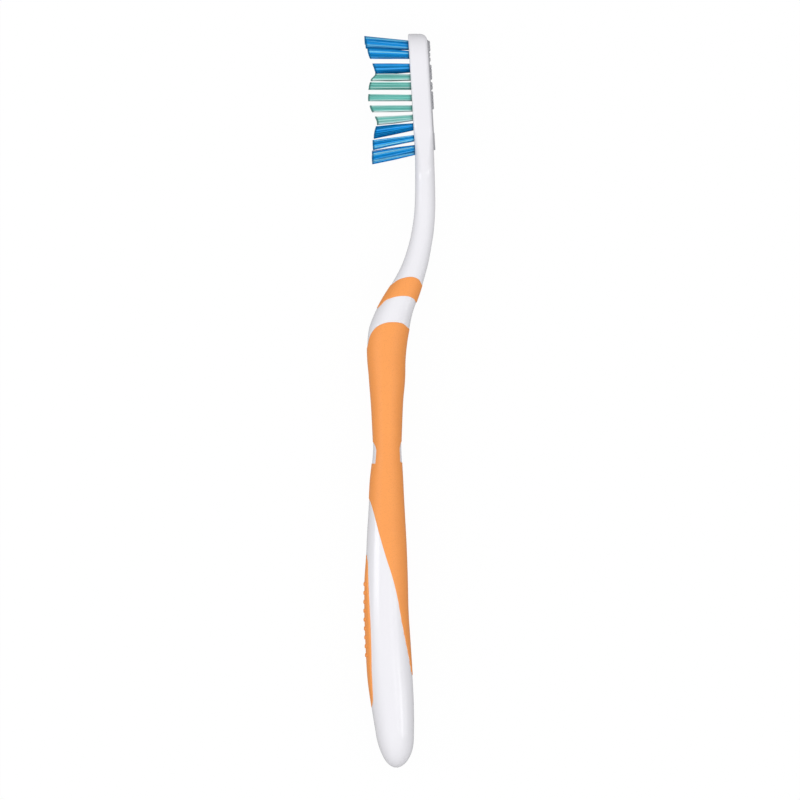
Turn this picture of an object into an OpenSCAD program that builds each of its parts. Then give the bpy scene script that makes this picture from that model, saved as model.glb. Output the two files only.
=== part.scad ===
// Manual toothbrush lying on its side, in millimetres.
// The head points along +Y, the bristles point along -X, and the width of the brush runs along Z.
// Places along the brush are measured from the tip of the head towards the end of the handle.

/* [Overall] */
// Length from the tip of the head to the end of the handle
brush_len = 190; // [170:1:210]
// How far the neck stands behind the middle of the grip
bend_rise = 9.95; // [6:0.05:13]
// How far the end of the handle sweeps back from the middle of the grip
end_rise = 2.5; // [0:0.05:5]

/* [Head] */
// Length of the head plate, from its tip to the neck
head_len = 31.6; // [30:0.1:36]
// Width of the head plate
head_w = 13.2; // [12.8:0.1:15]
// Thickness of the head plate
head_t = 4.9; // [4.6:0.05:6]
// Forward tilt of the head plate, in degrees
head_tilt = 3.4; // [0:0.1:6]
// Length over which the tip of the head rounds in
tip_round = 7; // [5:0.1:9]
// Width of the straight stretch at the very tip
tip_flat = 2.4; // [1.8:0.1:4]
// Radius of the long edges of the head plate
head_edge = 0.9; // [0.5:0.05:1.2]
// Radius of the tip's upper edge on the back of the head
tip_back_edge = 1.8; // [0.8:0.1:2.5]
// Stretch of the head over which its heel narrows
heel_taper = 8; // [6:0.1:8.5]
// Stretch of the neck over which the heel goes on narrowing
neck_taper = 6; // [3:0.1:9]

/* [Neck] */
// Width of the neck
neck_w = 6.2; // [5:0.1:8]
// Depth of the neck, front to back
neck_t = 5.2; // [4.2:0.05:6.5]

/* [Handle] */
// Width across the thumb zone
thumb_w = 13; // [11:0.1:15]
// Depth of the thumb zone
thumb_t = 10.4; // [8.5:0.05:12]
// Width across the waist
waist_w = 10.9; // [9:0.1:13]
// Depth of the waist
waist_t = 7.25; // [6.5:0.05:9]
// Width across the belly of the lower handle
belly_w = 13.3; // [11:0.1:15]
// Depth of the belly of the lower handle
belly_t = 11.4; // [9.5:0.05:13]
// Width near the end of the handle
end_w = 12; // [9:0.1:14]
// Depth near the end of the handle
end_t = 9.3; // [7:0.05:11]
// Length over which the end of the handle rounds in
end_round = 8.8; // [5:0.1:12]
// Size of the small flat at the very end of the handle
end_flat = 0.8; // [0.5:0.1:2]

/* [Soft pieces] */
// Thickness of the soft pieces under the handle's surface
grip_wall = 1.3; // [0.8:0.05:1.8]
// How far the grip and the neck band stand proud of the hard plastic
grip_proud = 0.12; // [0.05:0.01:0.3]
// How far the front pad stands proud of the hard plastic
pad_proud = 0.32; // [0.15:0.01:0.5]
// Diameter of a raised spot on the front pad
spot_d = 1.1; // [0.7:0.05:1.4]
// Height of a raised spot on the front pad
spot_h = 0.25; // [0.1:0.01:0.4]
// Distance between rows of spots on the front pad
spot_pitch = 2.3; // [1.8:0.05:2.8]

/* [Tongue cleaner] */
// Distance from the tip of the head to the tongue cleaner
cleaner_tip = 1.75; // [1.4:0.05:3]
// Distance from the tongue cleaner to the neck
cleaner_end = 1.15; // [0.6:0.05:3]
// Width of the tongue cleaner
cleaner_w = 9.4; // [7:0.1:10.5]
// Depth of its seat in the back of the head
cleaner_seat = 0.5; // [0.3:0.01:0.7]
// How far the pad stands proud of the back of the head
cleaner_proud = 0.45; // [0.2:0.01:0.7]
// Diameter of a nub on the tongue cleaner
nub_d = 1; // [0.6:0.05:1.2]
// Height of a nub on the tongue cleaner
nub_h = 0.2; // [0.1:0.01:0.4]
// Distance between rows of nubs
nub_pitch = 2.3; // [1.8:0.05:2.8]

/* [Tufts] */
// Distance from the tip of the head to the first row of tufts
field_tip = 2.35; // [2.2:0.05:2.8]
// Distance from the last row of tufts to the neck
field_end = 1; // [0.9:0.05:1.4]
// Distance between tufts across the head
tuft_pitch = 2.65; // [2.4:0.05:2.75]
// Diameter of a tuft hole
hole_d = 1.7; // [1.5:0.05:1.8]
// Depth of a tuft hole
hole_depth = 3.2; // [2.8:0.05:3.4]
// Clearance round a tuft in its hole
tuft_clear = 0.03; // [0.01:0.01:0.06]
// Length of the bristles at the toe
bristle_len = 11.5; // [9:0.1:13]
// How far the outer strands of the most fanned row lean out of their tuft along the brush, in degrees
tuft_fan = 2.8; // [1:0.1:3.2]
// How far a tuft's outer strands lean out of it across the brush, in degrees
side_fan = 1; // [0:0.1:1.2]
// Lean of the first row of tufts towards the tip, in degrees
toe_lean = 7.75; // [6.5:0.05:8.5]
// Lean of the last row of tufts towards the handle, in degrees
heel_lean = 6.85; // [6:0.05:7.5]

/* [Anchors] */
// Height of an anchor plate
anchor_h = 1.4; // [1:0.05:1.6]
// Thickness of an anchor plate
anchor_t = 0.3; // [0.2:0.01:0.4]
// How far an anchor plate bites into the wall on each side of its hole
anchor_bite = 0.12; // [0.06:0.01:0.15]
// Thickness of the folded filament under an anchor plate
fold_t = 0.4; // [0.3:0.01:0.5]
// Clearance round an anchor plate
anchor_clear = 0.02; // [0.01:0.01:0.03]

/* [Hidden] */
// Overrun of every cut, past the face that it opens
over = 1;
handle_len = brush_len - head_len;
head_x = head_t / cos(head_tilt);

// Sections: steps to each rounded corner, and the share of each half that the rounding takes
corner_steps = 4;
round_share = 0.9;

// Centre line of the handle: place along it, and share of the bend and of the sweep at its end
bend_shares = [
    [0, 0.987], [0.06, 1], [0.09, 0.992], [0.124, 0.937], [0.15, 0.857], [0.177, 0.742],
    [0.203, 0.581], [0.229, 0.385], [0.255, 0.2], [0.281, 0.076], [0.307, 0.018],
    [0.334, 0.002], [0.36, 0.018], [0.4, 0.018], [0.451, 0.024], [0.49, 0.025],
    [0.53, 0.008], [0.58, 0.004], [0.64, 0], [1, 0]
];
sweep_shares = [
    [0, 0], [0.72, 0], [0.75, 0.03], [0.791, 0.165], [0.844, 0.36], [0.87, 0.485],
    [0.896, 0.6], [0.922, 0.74], [0.948, 0.866], [0.975, 1], [1, 1]
];

// Depth of the handle between its named sizes: place along it, and share of the way from one
// size to the next
neck_to_thumb_shares = [
    [0.06, 0], [0.098, 0.045], [0.124, 0.1], [0.15, 0.16], [0.177, 0.29], [0.203, 0.48],
    [0.229, 0.73], [0.255, 0.87], [0.281, 1]
];
thumb_to_waist_shares = [
    [0.307, 0.07], [0.334, 0.22], [0.373, 0.45], [0.399, 0.68], [0.438, 0.88], [0.475, 1]
];
waist_to_belly_shares = [
    [0.5, 0.1], [0.53, 0.29], [0.556, 0.39], [0.582, 0.5], [0.634, 0.72], [0.687, 0.85],
    [0.739, 0.91], [0.791, 0.97], [0.844, 1]
];
belly_to_end_shares = [[0.87, 0.06], [0.896, 0.16], [0.922, 0.43], [0.948, 0.76], [1, 1]];

// Width of the handle in the same way
neck_to_thumb_w_shares = [
    [0.03, 0], [0.11, 0], [0.15, 0.08], [0.177, 0.19], [0.203, 0.37], [0.229, 0.57],
    [0.255, 0.77], [0.281, 0.93], [0.307, 1]
];
thumb_to_waist_w_shares = [[0.345, 0.03], [0.4, 0.45], [0.44, 0.85], [0.475, 1]];
waist_to_belly_w_shares = [[0.5, 0.06], [0.53, 0.27], [0.6, 0.7], [0.68, 0.95], [0.74, 1]];
belly_to_end_w_shares = [[0.84, 0.03], [0.9, 0.35], [0.948, 0.75], [1, 1]];

// Stations of the sections, in shares of the tip, the head, the neck, the grip and the end
tip_steps = 5;
heel_steps = 4;
bend_steps = 16;
grip_steps = 19;
end_steps = 5;
bend_end_share = 0.35;

// Outlines of the soft pieces on the side of the handle: share of the handle's depth, from
// front to back, and share of its length
band_top_shares = [
    [-0.35, 0.222], [0, 0.2105], [0.12, 0.203], [0.3, 0.1992], [0.52, 0.1975], [0.7, 0.199],
    [0.86, 0.203], [0.98, 0.21], [1.35, 0.222]
];
band_bottom_shares = [
    [1.35, 0.256], [1, 0.2405], [0.94, 0.2365], [0.86, 0.2332], [0.73, 0.2305], [0.57, 0.2295],
    [0.34, 0.231], [0.2, 0.234], [0.11, 0.2375], [0.06, 0.244], [0.01, 0.2492], [-0.35, 0.251]
];
grip_top_shares = [
    [-0.35, 0.32], [-0.03, 0.316], [0.015, 0.309], [0.042, 0.297], [0.083, 0.289],
    [0.15, 0.2815], [0.29, 0.2747], [0.55, 0.2715], [0.85, 0.275], [0.98, 0.2815], [1.35, 0.29]
];
grip_tail_shares = [
    [1.35, 0.86], [1.02, 0.853], [0.98, 0.842], [0.943, 0.817], [0.893, 0.792], [0.837, 0.761],
    [0.79, 0.736], [0.72, 0.711], [0.629, 0.686], [0.51, 0.661], [0.387, 0.6345],
    [0.265, 0.608], [0.139, 0.582], [0, 0.561], [-0.35, 0.553]
];
pad_shares = [
    [-0.35, 0.645], [0, 0.651], [0.04, 0.661], [0.06, 0.686], [0.078, 0.711], [0.098, 0.736],
    [0.11, 0.761], [0.106, 0.792], [0.1, 0.817], [0.084, 0.842], [0.07, 0.867], [0.05, 0.892],
    [0, 0.903], [-0.35, 0.907]
];
// Points added between two points of a curved outline
curve_steps = 2;

// Windows at the waist, where the hard plastic shows through the main grip: share of the half
// width of the waist, and share of the handle's length
front_window_shares = [
    [0, 0.467], [0.3, 0.4675], [0.51, 0.47], [0.66, 0.4745], [0.74, 0.481], [0.74, 0.503]
];
back_window_shares = [
    [0, 0.466], [0.3, 0.4675], [0.48, 0.471], [0.59, 0.478], [0.59, 0.499], [0.5, 0.5012]
];

// Stretches of the handle that hold the core, and the core under each soft piece
core_shares = [0.165, 0.935];
band_stretch_shares = [0.18, 0.275];
grip_stretch_shares = [0.25, 0.9];
pad_stretch_shares = [0.615, 0.935];
// Stretch of the handle whose sides are covered by the main grip
grip_side_shares = [0.2715, 0.667];

// Spots on the front pad: first and last place along the handle, and how many across it
spot_zone_shares = [0.7, 0.83];
spots_across = 3;

// Tongue cleaner, and the nubs across it and along it
cleaner_len = head_len - cleaner_tip - cleaner_end;
nubs_across = 3;
bare_rows = 2;
nub_rows = floor(cleaner_len / nub_pitch) - bare_rows;
nub_first = cleaner_end + (cleaner_len - (nub_rows - 1) * nub_pitch) / 2;
cleaner_corner_steps = 8;

// Rows of tufts from the tip: place in the field, and how many tufts
field_len = head_len - field_tip - field_end;
row_shares = [0, 0.12, 0.247, 0.315, 0.402, 0.502, 0.599, 0.684, 0.774, 0.872, 1];
row_counts = [3, 4, 4, 4, 4, 4, 4, 4, 4, 4, 3];
rows = len(row_shares);
// How far the outer tufts of each row stand towards the tip from the inner ones, as a share of
// the hole's diameter
row_bow_shares = [-0.59, 0.3, 0.48, 0, 0.24, 0, 0, 0, 0.18, 0, 0.62];
// Lean of each row, as a share of the lean at the toe or at the heel
toe_lean_shares = [1, 0.67, 0.34, 0.4, 0.44, 0.44, 0.33, 0, 0, 0, 0];
heel_lean_shares = [0, 0, 0, 0, 0, 0, 0, 0.14, 0.8, 0.89, 1];
// Fan of each row along the brush, as a share of the most fanned row's
fan_shares = [0.46, 0.6, 0.24, 0.07, 0.07, 0.07, 0.1, 0.42, 1, 0.87, 0.8];
// Rows of the middle zone, in the second colour
middle_rows = [3, 7];
// Height of the trimmed bristles along the head, from the neck to the tip
trim_shares = [
    [-0.2, 1], [-0.05, 0.99], [0.05, 0.96], [0.13, 0.935], [0.2, 0.895], [0.263, 0.825],
    [0.3, 0.82], [0.364, 0.885], [0.418, 0.95], [0.475, 0.98], [0.58, 0.952], [0.65, 0.885],
    [0.68, 0.8], [0.79, 0.855], [0.883, 0.937], [1.013, 1], [1.2, 1.02]
];
// Strands of a tuft, in two rings: shares of the tuft's radius
tuft_r = hole_d / 2 - tuft_clear;
inner_strands = 3;
outer_strands = 8;
inner_ring_share = 0.38;
outer_ring_share = 0.77;
strand_d_share = 0.47;
strand_sides = 3;
// Depth of the root's upper end in its hole, and of the strands' lower ends in the root
root_drop_share = 0.0625;
strand_bury_share = 0.125;
root_drop = root_drop_share * hole_depth;
strand_bury = strand_bury_share * hole_depth;

// Sides of the prisms that stand for round holes, spots and nubs
hole_sides = 8;
spot_sides = 6;

plastic_white = [0.94, 0.94, 0.96];
soft_orange = [1, 0.63, 0.35];
soft_grey = [0.62, 0.62, 0.65];
filament_blue = [0.05, 0.42, 0.76];
filament_teal = [0.35, 0.78, 0.71];
anchor_brass = [0.78, 0.65, 0.34];

// A tuft's name: its row from the tip, and its number in the row
function tuft_name(r, c) = str("tuft_row_", r < 9 ? "0" : "", r + 1, "_no_", c + 1);

// Curves
function mix(a, b, t) = a + (b - a) * t;
function smooth(t) = let (c = max(0, min(1, t))) c * c * (3 - 2 * c);
function round_in(t) = let (c = max(0, min(1, t))) sqrt(1 - (1 - c) * (1 - c));
function slope(a, b) = (b[1] - a[1]) / (b[0] - a[0]);
function slope_at(table, i) =
    i == 0 ? slope(table[0], table[1])
    : i == len(table) - 1 ? slope(table[i - 1], table[i])
    : (slope(table[i - 1], table[i]) + slope(table[i], table[i + 1])) / 2;
function segment_of(table, x) =
    max([0, for (i = [0 : len(table) - 2]) if (x >= table[i][0]) i]);

// Smooth curve through the points of a table, held level before its first point and past its last
function through(table, x) =
    let (
        i = segment_of(table, x),
        a = table[i],
        b = table[i + 1],
        w = b[0] - a[0],
        t = max(0, min(1, (x - a[0]) / w)),
        a_slope = slope_at(table, i) * w,
        b_slope = slope_at(table, i + 1) * w
    )
    a[1] * (1 + 2 * t) * (1 - t) * (1 - t) + a_slope * t * (1 - t) * (1 - t)
    + b[1] * t * t * (3 - 2 * t) + b_slope * t * t * (t - 1);

// Smooth line through a list of points
function curved(points) = concat(
    [for (i = [0 : len(points) - 2]) for (k = [0 : curve_steps - 1])
        let (
            p0 = points[max(i - 1, 0)],
            p1 = points[i],
            p2 = points[i + 1],
            p3 = points[min(i + 2, len(points) - 1)],
            t = k / curve_steps
        )
        (p1 * 2 + (p2 - p0) * t + (p0 * 2 - p1 * 5 + p2 * 4 - p3) * t * t
            + (p1 * 3 - p0 - p2 * 3 + p3) * t * t * t) / 2],
    [points[len(points) - 1]]
);

// Places along the brush
function handle_share(u) = (u - head_len) / handle_len;
function handle_place(s) = head_len + s * handle_len;
function y_at(u) = brush_len / 2 - u;

// Sizes of the handle at a share of its length
depth_table = concat(
    [[0, head_x]],
    [for (p = neck_to_thumb_shares) [p[0], mix(neck_t, thumb_t, p[1])]],
    [for (p = thumb_to_waist_shares) [p[0], mix(thumb_t, waist_t, p[1])]],
    [for (p = waist_to_belly_shares) [p[0], mix(waist_t, belly_t, p[1])]],
    [for (p = belly_to_end_shares) [p[0], mix(belly_t, end_t, p[1])]]
);
width_table = concat(
    [for (p = neck_to_thumb_w_shares) [p[0], mix(neck_w, thumb_w, p[1])]],
    [for (p = thumb_to_waist_w_shares) [p[0], mix(thumb_w, waist_w, p[1])]],
    [for (p = waist_to_belly_w_shares) [p[0], mix(waist_w, belly_w, p[1])]],
    [for (p = belly_to_end_w_shares) [p[0], mix(belly_w, end_w, p[1])]]
);
function end_factor(u) = round_in((brush_len - u) / end_round);
function rounded_end(size, u) = max(end_flat, size * end_factor(u));

// Centre line across the brush, measured from the middle of the grip
function handle_centre(s) = bend_rise * through(bend_shares, s) + end_rise * through(sweep_shares, s);
function head_centre(u) = handle_centre(0) - (head_len - u) * tan(head_tilt);

// Front and back of the side view
tip_front_edge = head_edge / 2;
function head_front(u) =
    head_centre(u) - head_x / 2 + tip_front_edge * (1 - round_in(u / tip_front_edge));
function head_back(u) = head_centre(u) + head_x / 2 - tip_back_edge * (1 - round_in(u / tip_back_edge));
function handle_half(u) = rounded_end(through(depth_table, handle_share(u)), u) / 2;
function front_x(u) =
    u < head_len ? head_front(u) : handle_centre(handle_share(u)) - handle_half(u);
function back_x(u) =
    u < head_len ? head_back(u) : handle_centre(handle_share(u)) + handle_half(u);

// Half width of the brush
function heel_share(u) = smooth((u - head_len + heel_taper) / (heel_taper + neck_taper));
function head_half(u) = mix(tip_flat / 2, head_w / 2, round_in(u / tip_round));
function half_width(u) =
    u < head_len + neck_taper
    ? mix(head_half(u), neck_w / 2, heel_share(u))
    : rounded_end(through(width_table, handle_share(u)), u) / 2;

// One section: a rectangle with rounded corners on the head, all but an ellipse on the handle.
// Grow makes it larger all round, and a negative value makes it smaller.
function section(u, grow) =
    let (
        front = front_x(u) - grow,
        back = back_x(u) + grow,
        centre = (front + back) / 2,
        a = (back - front) / 2,
        b = half_width(u) + grow,
        t = heel_share(u),
        rx = mix(min(head_edge, a * round_share), a * round_share, t),
        rz = mix(min(head_edge, b * round_share), b * round_share, t)
    )
    [for (q = [0 : 3]) for (k = [0 : corner_steps])
        let (
            angle = 90 * (q + k / corner_steps),
            side_x = q == 0 || q == 3 ? 1 : -1,
            side_z = q < 2 ? 1 : -1
        )
        [
            centre + side_x * (a - rx) + rx * cos(angle),
            y_at(u),
            side_z * (b - rz) + rz * sin(angle)
        ]];

// Stations of all the sections
stations = concat(
    [for (i = [0 : tip_steps - 1]) tip_round * (1 - cos(90 * i / tip_steps))],
    [tip_round],
    [for (i = [0 : heel_steps - 1]) head_len - heel_taper * (1 - i / heel_steps)],
    [head_len],
    [for (i = [1 : bend_steps]) handle_place(bend_end_share * i / bend_steps)],
    [for (i = [1 : grip_steps])
        mix(handle_place(bend_end_share), brush_len - end_round, i / grip_steps)],
    [for (i = [1 : end_steps]) brush_len - end_round * (1 - sin(90 * i / end_steps))]
);

// Solid through the sections from one station to another
module loft(grow, places) {
    rings = len(places);
    sides = 4 * (corner_steps + 1);
    points = [for (u = places) each section(u, grow)];
    walls = [for (i = [0 : rings - 2]) for (j = [0 : sides - 1])
        let (
            a = i * sides + j,
            b = i * sides + (j + 1) % sides,
            c = a + sides,
            d = b + sides
        )
        each [[a, c, b], [b, c, d]]];
    first = [for (j = [0 : sides - 1]) j];
    last = [for (j = [0 : sides - 1]) rings * sides - 1 - j];
    polyhedron(points, concat(walls, [first], [last]));
}

// Where the whole brush lies: its middle over the origin, and its lowest side on the ground
spot_first = handle_place(spot_zone_shares[0]);
spot_last = handle_place(spot_zone_shares[1]);
spot_rows = floor((spot_last - spot_first) / spot_pitch) + 1;
pad_most = min([for (i = [0 : spot_rows - 1]) front_x(spot_first + i * spot_pitch)])
    - pad_proud - spot_h;
bristle_most = front_x(head_len) - bristle_len * cos(head_tilt) - head_len * sin(head_tilt);
front_most = min(pad_most, bristle_most);
heel_most = front_x(head_len) + (head_t + cleaner_proud) * cos(head_tilt)
    - cleaner_end * sin(head_tilt);
nub_most = front_x(head_len) + (head_t + cleaner_proud + nub_h) * cos(head_tilt)
    - (nub_first - nub_d / 2) * sin(head_tilt);
back_most = max(heel_most, nub_most, max([for (u = stations) back_x(u)]));
shift_x = -(front_most + back_most) / 2;
function in_stretch(u, stretch) = handle_share(u) > stretch[0] && handle_share(u) < stretch[1];
lift_z = max(
    half_width(handle_place(grip_side_shares[1])) + grip_proud,
    max([for (u = stations) half_width(u) + (in_stretch(u, grip_side_shares) ? grip_proud : 0)])
);
module placed() {
    translate([shift_x, 0, lift_z]) children();
}

// Prism through the handle's width, with an outline given in shares of the handle
function side_point(p) =
    let (u = handle_place(p[1]))
    [mix(front_x(u), back_x(u), p[0]), y_at(u)];
zone_half = max(head_w, thumb_w, belly_w) / 2 + over;
module zone(outline) {
    translate([0, 0, -zone_half])
        linear_extrude(height = 2 * zone_half)
            polygon([for (p = outline) side_point(p)]);
}
module band_zone() {
    zone(concat(curved(band_top_shares), curved(band_bottom_shares)));
}
module window(outline, side) {
    points = [for (p = outline) [p[0] * waist_w / 2, y_at(handle_place(p[1]))]];
    other_half = [for (i = [len(points) - 1 : -1 : 0]) [-points[i][0], points[i][1]]];
    middle = side_point([0.5, outline[0][1]]);
    reach = thumb_t / 2 + over;
    translate([middle[0] - (side < 0 ? reach : 0), 0, 0])
        rotate([0, 90, 0])
            linear_extrude(height = reach)
                polygon(concat(points, other_half));
}
module grip_zone() {
    difference() {
        zone(concat(curved(grip_top_shares), curved(grip_tail_shares)));
        window(front_window_shares, -1);
        window(back_window_shares, 1);
    }
}
module pad_zone() {
    zone(curved(pad_shares));
}

// Hard core under the soft pieces, and the soft skin round one stretch of it
function places_in(stretch) = [for (u = stations) if (in_stretch(u, stretch)) u];
module soft_skin(proud, stretch) {
    difference() {
        loft(proud, places_in(stretch));
        loft(-grip_wall, places_in(stretch));
    }
}

// Frame of the head plate: its face is the plane across X, and Y runs from the neck to the tip
module on_head() {
    translate([front_x(head_len), y_at(head_len), 0])
        rotate([0, 0, head_tilt])
            children();
}

// Frame of a tuft: Z runs out of the hole along the tuft
function row_place(r) = field_end + field_len * (1 - row_shares[r]);
function row_lean(r) = heel_lean * heel_lean_shares[r] - toe_lean * toe_lean_shares[r];
function tuft_out(r, c) = (2 * c - row_counts[r] + 1) / (row_counts[r] - 1);
function tuft_side(r, c) = tuft_out(r, c) * (row_counts[r] - 1) / 2 * tuft_pitch;
function tuft_place(r, c) = row_place(r) + hole_d * row_bow_shares[r] * tuft_out(r, c) * tuft_out(r, c);
module on_tuft(r, c) {
    on_head()
        translate([0, tuft_place(r, c), tuft_side(r, c)])
            rotate([0, 0, row_lean(r)])
                rotate([0, -90, 0])
                    children();
}

module anchor(clear) {
    anchor_w = hole_d + 2 * anchor_bite;
    translate([
        -anchor_w / 2 - clear,
        -anchor_t / 2 - clear,
        fold_t - hole_depth - clear
    ])
        cube([anchor_w + 2 * clear, anchor_t + 2 * clear, anchor_h + 2 * clear]);
}

// Length of a strand, from the tip's place along the tuft's frame: it ends on the trimmed outline
function strand_height(r, c, y) =
    let (
        lean = row_lean(r),
        tip = tuft_place(r, c) + y - bristle_len * sin(lean)
    )
    bristle_len * through(trim_shares, tip / head_len) / cos(lean);

// One strand: its distance from the middle as a share of the tuft's radius, and its angle there
module strand(r, c, ring_share, angle) {
    x = ring_share * cos(angle);
    y = ring_share * sin(angle);
    fan_x = side_fan * x / outer_ring_share;
    fan_y = tuft_fan * fan_shares[r] * y / outer_ring_share;
    height = strand_height(r, c, y * tuft_r + bristle_len * tan(fan_y));
    start = root_drop + strand_bury;
    translate([x * tuft_r, y * tuft_r, -start])
        rotate([-fan_y, fan_x, 0])
            rotate([0, 0, angle + 180 / strand_sides])
                cylinder(h = height + start, d = strand_d_share * tuft_r, $fn = strand_sides);
}

module tuft(r, c) {
    middle = r >= middle_rows[0] && r <= middle_rows[1];
    color(middle ? filament_teal : filament_blue)
        placed()
            on_tuft(r, c)
                union() {
                    difference() {
                        translate([0, 0, tuft_clear - hole_depth])
                            cylinder(h = hole_depth - tuft_clear - root_drop, r = tuft_r, $fn = hole_sides);
                        anchor(anchor_clear);
                    }
                    for (i = [0 : inner_strands - 1])
                        strand(r, c, inner_ring_share, 360 * i / inner_strands);
                    for (i = [0 : outer_strands - 1])
                        strand(r, c, outer_ring_share, 360 * i / outer_strands);
                }
}

module tuft_anchors() {
    color(anchor_brass)
        placed()
            for (r = [0 : rows - 1])
                for (c = [0 : row_counts[r] - 1])
                    on_tuft(r, c)
                        anchor(0);
}

module tuft_holes() {
    for (r = [0 : rows - 1])
        for (c = [0 : row_counts[r] - 1])
            on_tuft(r, c) {
                translate([0, 0, -hole_depth])
                    cylinder(h = hole_depth + over, d = hole_d, $fn = hole_sides);
                anchor(anchor_clear);
            }
}

// Outline of the tongue cleaner, in the frame of the head
function cleaner_outline() =
    let (
        r = cleaner_w / 2,
        low = cleaner_end + r,
        high = cleaner_end + cleaner_len - r
    )
    [for (q = [0 : 1]) for (k = [0 : 2 * cleaner_corner_steps])
        let (angle = 180 * q + 90 * k / cleaner_corner_steps)
        [(q == 0 ? high : low) + r * sin(angle), r * cos(angle)]];
module cleaner_plate(bottom, top) {
    translate([bottom, 0, 0])
        rotate([0, 90, 0])
            rotate([0, 0, 90])
                linear_extrude(height = top - bottom)
                    polygon(cleaner_outline());
}

module tongue_cleaner() {
    nub_gap = cleaner_w / (nubs_across + 1);
    color(soft_grey)
        placed()
            on_head() {
                cleaner_plate(head_t - cleaner_seat, head_t + cleaner_proud);
                for (i = [0 : nub_rows - 1])
                    for (j = [0 : nubs_across - 1])
                        translate([
                            head_t,
                            nub_first + i * nub_pitch,
                            (j - (nubs_across - 1) / 2) * nub_gap
                        ])
                            rotate([0, 90, 0])
                                cylinder(h = cleaner_proud + nub_h, d = nub_d, $fn = spot_sides);
            }
}

module handle_body() {
    color(plastic_white)
        placed()
            difference() {
                loft(0, stations);
                difference() {
                    union() {
                        band_zone();
                        grip_zone();
                        pad_zone();
                    }
                    loft(-grip_wall, places_in(core_shares));
                }
                tuft_holes();
                on_head()
                    cleaner_plate(head_t - cleaner_seat, head_t + over);
            }
}

module neck_band() {
    color(soft_orange)
        placed()
            intersection() {
                soft_skin(grip_proud, band_stretch_shares);
                band_zone();
            }
}

module main_grip() {
    color(soft_orange)
        placed()
            intersection() {
                soft_skin(grip_proud, grip_stretch_shares);
                grip_zone();
            }
}

// Front surface of the pad at a place along the handle and a place across it
function pad_front(u, z) =
    let (
        a = (back_x(u) - front_x(u)) / 2 + pad_proud,
        b = half_width(u) + pad_proud,
        rx = a * round_share,
        rz = b * round_share,
        out = max(0, abs(z) - (b - rz)) / rz
    )
    (front_x(u) + back_x(u)) / 2 - (a - rx) - rx * sqrt(1 - out * out);

module front_pad() {
    color(soft_orange)
        placed()
            union() {
                intersection() {
                    soft_skin(pad_proud, pad_stretch_shares);
                    pad_zone();
                }
                for (i = [0 : spot_rows - 1])
                    for (j = [0 : spots_across - 1]) {
                        u = spot_first + i * spot_pitch;
                        z = (j - (spots_across - 1) / 2) * spot_pitch;
                        translate([pad_front(u, z) - spot_h, y_at(u), z])
                            rotate([0, 90, 0])
                                cylinder(h = spot_h + pad_proud, d = spot_d, $fn = spot_sides);
                    }
            }
}

handle_body();
neck_band();
main_grip();
front_pad();
tongue_cleaner();
tuft_anchors();
for (r = [0 : rows - 1])
    for (c = [0 : row_counts[r] - 1])
        tuft(r, c);
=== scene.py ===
import bisect
import math
import random

import bmesh
import bpy
from mathutils import Matrix, Vector


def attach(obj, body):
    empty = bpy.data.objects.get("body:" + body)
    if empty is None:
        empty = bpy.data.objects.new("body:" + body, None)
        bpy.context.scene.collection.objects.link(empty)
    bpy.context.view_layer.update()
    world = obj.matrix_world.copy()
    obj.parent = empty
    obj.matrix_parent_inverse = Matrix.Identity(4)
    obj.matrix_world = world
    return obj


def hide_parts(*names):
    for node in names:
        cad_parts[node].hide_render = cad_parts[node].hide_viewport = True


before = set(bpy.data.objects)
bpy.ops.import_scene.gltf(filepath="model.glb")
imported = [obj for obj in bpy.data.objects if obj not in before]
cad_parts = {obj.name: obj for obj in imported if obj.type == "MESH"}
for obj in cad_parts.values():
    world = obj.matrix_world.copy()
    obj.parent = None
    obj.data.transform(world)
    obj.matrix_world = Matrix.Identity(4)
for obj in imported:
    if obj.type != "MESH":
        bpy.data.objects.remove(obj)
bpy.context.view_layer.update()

bl_info = {
    "name": "Manual toothbrush",
    "version": (1, 0, 0),
    "blender": (4, 5, 0),
    "location": "View3D > Sidebar > Toothbrush",
    "description": "A manual toothbrush with soft grips, a tongue cleaner and leaning tufts",
    "category": "Add Mesh",
}

BODY = "root"

# Sizes below are millimetres. A mesh is made in millimetres and scaled to metres at the end.
MM = 0.001

# Sizes of the solids. Places along the brush run from the tip of the head, at 0.
BRUSH_LEN = 190.0
HEAD_LEN = 31.6
HANDLE_LEN = BRUSH_LEN - HEAD_LEN
BEND_RISE = 9.95
END_RISE = 2.5
HEAD_W = 13.2
HEAD_T = 4.9
HEAD_TILT = math.radians(3.4)
HEAD_X = HEAD_T / math.cos(HEAD_TILT)
TIP_ROUND = 7.0
TIP_FLAT = 2.4
HEAD_EDGE = 0.9
TIP_FRONT_EDGE = HEAD_EDGE / 2
TIP_BACK_EDGE = 1.8
HEEL_TAPER = 8.0
NECK_TAPER = 6.0
NECK_W, NECK_T = 6.2, 5.2
THUMB_W, THUMB_T = 13.0, 10.4
WAIST_W, WAIST_T = 10.9, 7.25
BELLY_W, BELLY_T = 13.3, 11.4
END_W, END_T = 12.0, 9.3
END_ROUND, END_FLAT = 8.8, 0.8
CORNER_SHARE = 0.9
SHIFT_X = -3.286
LIFT_Z = 6.677
GRIP_WALL = 1.3
CLEANER_TIP, CLEANER_END = 1.75, 1.15
CLEANER_W, CLEANER_SEAT = 9.4, 0.5
FIELD_TIP, FIELD_END = 2.35, 1.0
FIELD_LEN = HEAD_LEN - FIELD_TIP - FIELD_END
TUFT_PITCH = 2.65
HOLE_D, HOLE_DEPTH, TUFT_CLEAR = 1.7, 3.2, 0.03
TUFT_R = HOLE_D / 2 - TUFT_CLEAR
BRISTLE_LEN = 11.5
TUFT_FAN, SIDE_FAN = 2.8, 1.0
TOE_LEAN, HEEL_LEAN = 7.75, 6.85

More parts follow.
